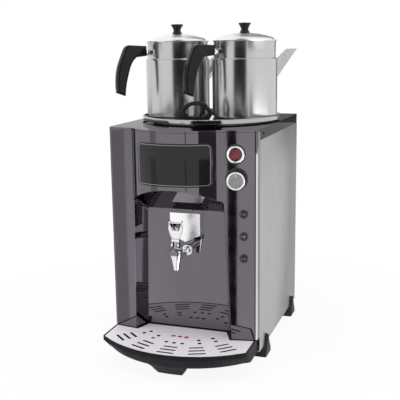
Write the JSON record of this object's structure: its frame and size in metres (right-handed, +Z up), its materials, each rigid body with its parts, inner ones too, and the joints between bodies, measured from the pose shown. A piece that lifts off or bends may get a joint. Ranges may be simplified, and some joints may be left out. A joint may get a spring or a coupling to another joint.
{
  "type": "hot water urn",
  "caption": "Countertop tea boiler: a smoked steel casing with a tap niche, drip tray, dial and lamps, and two steel teapots keeping warm on its lid.",
  "frame": {"origin": "on the table under the middle of the whole footprint, in the casing's middle plane", "axes": "+X right as seen from the front, +Y to the back, +Z up; the tap and tray face -Y"},
  "size_m": [0.3527, 0.515, 0.698],
  "materials": {
    "smoked_steel": "dark anthracite mirror polish",
    "brushed_side": "vertical brushed satin",
    "plain_sheet": "mill finish sheet",
    "tank_steel": "welded stainless",
    "lid_steel": "polished stainless with a rolled rim",
    "grille_steel": "brushed, perforated",
    "pot_steel": "satin spun stainless",
    "chrome": "bright plated",
    "tap_brass": "turned",
    "spring_steel": "wire",
    "silicone": "food grade silicone",
    "charcoal_plastic": "moulded charcoal",
    "black_bakelite": "polished black phenolic",
    "black_fitting": "semi-gloss black",
    "knob_grey": "black side, bright rim, grey face",
    "plaque_black": "gloss black, light border, no lettering",
    "screw_black": "black oxide",
    "zinc_screw": "zinc plated",
    "cutout_white": "off-white moulded",
    "switch_red": "translucent red",
    "float_red": "bright red",
    "lens_green": "translucent green",
    "lens_amber": "translucent amber",
    "lens_red": "translucent red"
  },
  "bodies": {
    "casing": {"front_panel": "smoked_steel", "niche_liner": "smoked_steel", "top_cover": "smoked_steel", "side_panel_left": "brushed_side", "side_panel_right": "brushed_side", "back_panel": "brushed_side", "base_pan": "plain_sheet", "tank_stands": "plain_sheet", "boiler_tank": "tank_steel", "heating_element": "tank_steel", "tap_guard": "chrome", "tap_rosette": "chrome", "tap_body": "chrome", "tap_bonnet": "chrome", "switch_ring": "chrome", "tap_nuts": "tap_brass", "tap_spring": "spring_steel", "lid_gasket": "silicone", "tap_gasket": "silicone", "foot_front_left": "charcoal_plastic", "foot_front_right": "charcoal_plastic", "foot_rear_left": "charcoal_plastic", "foot_rear_right": "charcoal_plastic", "switch_body": "black_fitting", "dial_plate": "black_fitting", "lamp_bezels": "black_fitting", "cable_gland": "black_fitting", "thermostat_unit": "black_fitting", "name_plaque": "plaque_black", "top_cover_screws": "screw_black", "foot_screws": "zinc_screw", "safety_cutout": "cutout_white", "terminal_block": "cutout_white", "lamp_green": "lens_green", "lamp_amber": "lens_amber", "lamp_red": "lens_red"},
    "stem": {"tap_stem": "chrome", "tap_seat_cup": "silicone"},
    "lever": {"tap_lever": "chrome", "tap_lever_pin": "chrome"},
    "rocker": {"switch_rocker": "switch_red"},
    "knob": {"thermostat_knob": "knob_grey"},
    "tray": {"drip_tray": "charcoal_plastic"},
    "grille": {"drip_grille": "grille_steel"},
    "float": {"tray_float": "float_red"},
    "lid": {"boiler_lid": "lid_steel", "lid_handle": "black_bakelite"},
    "pot_left": {"pot_left_body": "pot_steel", "pot_left_spout": "pot_steel", "pot_left_ferrule": "chrome", "pot_left_handle": "black_bakelite"},
    "pot_right": {"pot_right_body": "pot_steel", "pot_right_spout": "pot_steel", "pot_right_ferrule": "chrome", "pot_right_handle": "black_bakelite"},
    "pot_left_cover": {"pot_left_lid": "pot_steel", "pot_left_knob": "black_bakelite"},
    "pot_right_cover": {"pot_right_lid": "pot_steel", "pot_right_knob": "black_bakelite"}
  },
  "joints": [
    {"name": "tap_stem_lift", "type": "slide", "parent": "casing", "child": "stem", "axis": [0, 0, 1], "range_m": [0, 0.004], "deforming": ["tap_spring"]},
    {"name": "tap_lever_tilt", "type": "hinge", "parent": "stem", "child": "lever", "pos_m": [0, -0.1685, 0.258], "axis": [1, 0, 0], "range_deg": [0, 60], "stiffness_Nm_per_rad": 0.15, "springref_deg": -22.92},
    {"name": "switch_rock", "type": "hinge", "parent": "casing", "child": "rocker", "pos_m": [0.1169, -0.13884, 0.441], "axis": [-0.9817, -0.1902, 0], "range_deg": [0, 18]},
    {"name": "knob_turn", "type": "hinge", "parent": "casing", "child": "knob", "pos_m": [0.119, -0.13894, 0.392], "axis": [-0.1902, 0.9817, 0], "range_deg": [0, 270]},
    {"name": "tray_slide", "type": "slide", "parent": "casing", "child": "tray", "axis": [0, -1, 0], "range_m": [0, 0.16]},
    {"name": "grille_lift", "type": "slide", "parent": "tray", "child": "grille", "axis": [0, 0, 1], "range_m": [0, 0.06]},
    {"name": "float_rise", "type": "slide", "parent": "tray", "child": "float", "axis": [0, 0, 1], "range_m": [0, 0.004]},
    {"name": "lid_lift", "type": "slide", "parent": "casing", "child": "lid", "axis": [0, 0, 1], "range_m": [0, 0.06]},
    {"name": "pot_left_lift", "type": "slide", "parent": "lid", "child": "pot_left", "axis": [0, 0, 1], "range_m": [0, 0.06]},
    {"name": "pot_right_lift", "type": "slide", "parent": "lid", "child": "pot_right", "axis": [0, 0, 1], "range_m": [0, 0.06]},
    {"name": "pot_left_lid_lift", "type": "slide", "parent": "pot_left", "child": "pot_left_cover", "axis": [0, 0, 1], "range_m": [0, 0.045]},
    {"name": "pot_right_lid_lift", "type": "slide", "parent": "pot_right", "child": "pot_right_cover", "axis": [0, 0, 1], "range_m": [0, 0.045]}
  ],
  "couplings": [
    {"joint": "tap_stem_lift", "follows": "tap_lever_tilt", "m_per_rad": 0.0038}
  ]
}
